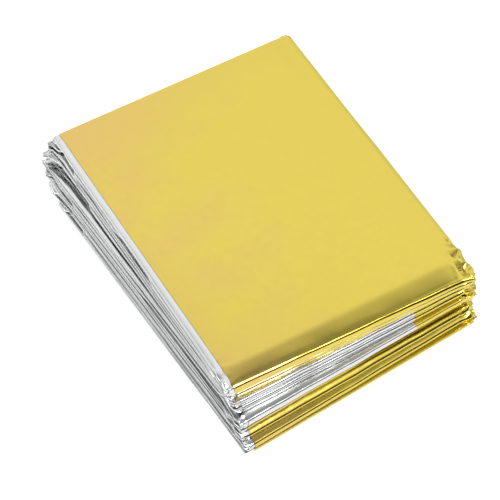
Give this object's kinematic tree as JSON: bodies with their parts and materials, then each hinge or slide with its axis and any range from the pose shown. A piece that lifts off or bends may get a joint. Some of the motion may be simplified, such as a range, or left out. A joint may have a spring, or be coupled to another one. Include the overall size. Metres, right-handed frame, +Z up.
{
  "type": "folded emergency foil blanket",
  "caption": "Gold and silver metallised film survival blanket, pleated to a strip and folded back and forth into a flat packet that rests on a surface.",
  "frame": {"origin": "centre of the packet's box in plan, on the surface that it lies on", "axes": "+X across the strip, +Y from the stepped front turns to the back ones, +Z up through the layers"},
  "size_m": [0.1016, 0.1332, 0.0252],
  "materials": {
    "foil": "thin metallised film, glossy, gold on one side and silver on the other, with fine creases"
  },
  "bodies": {
    "root": {"blanket": "foil"}
  },
  "joints": []
}
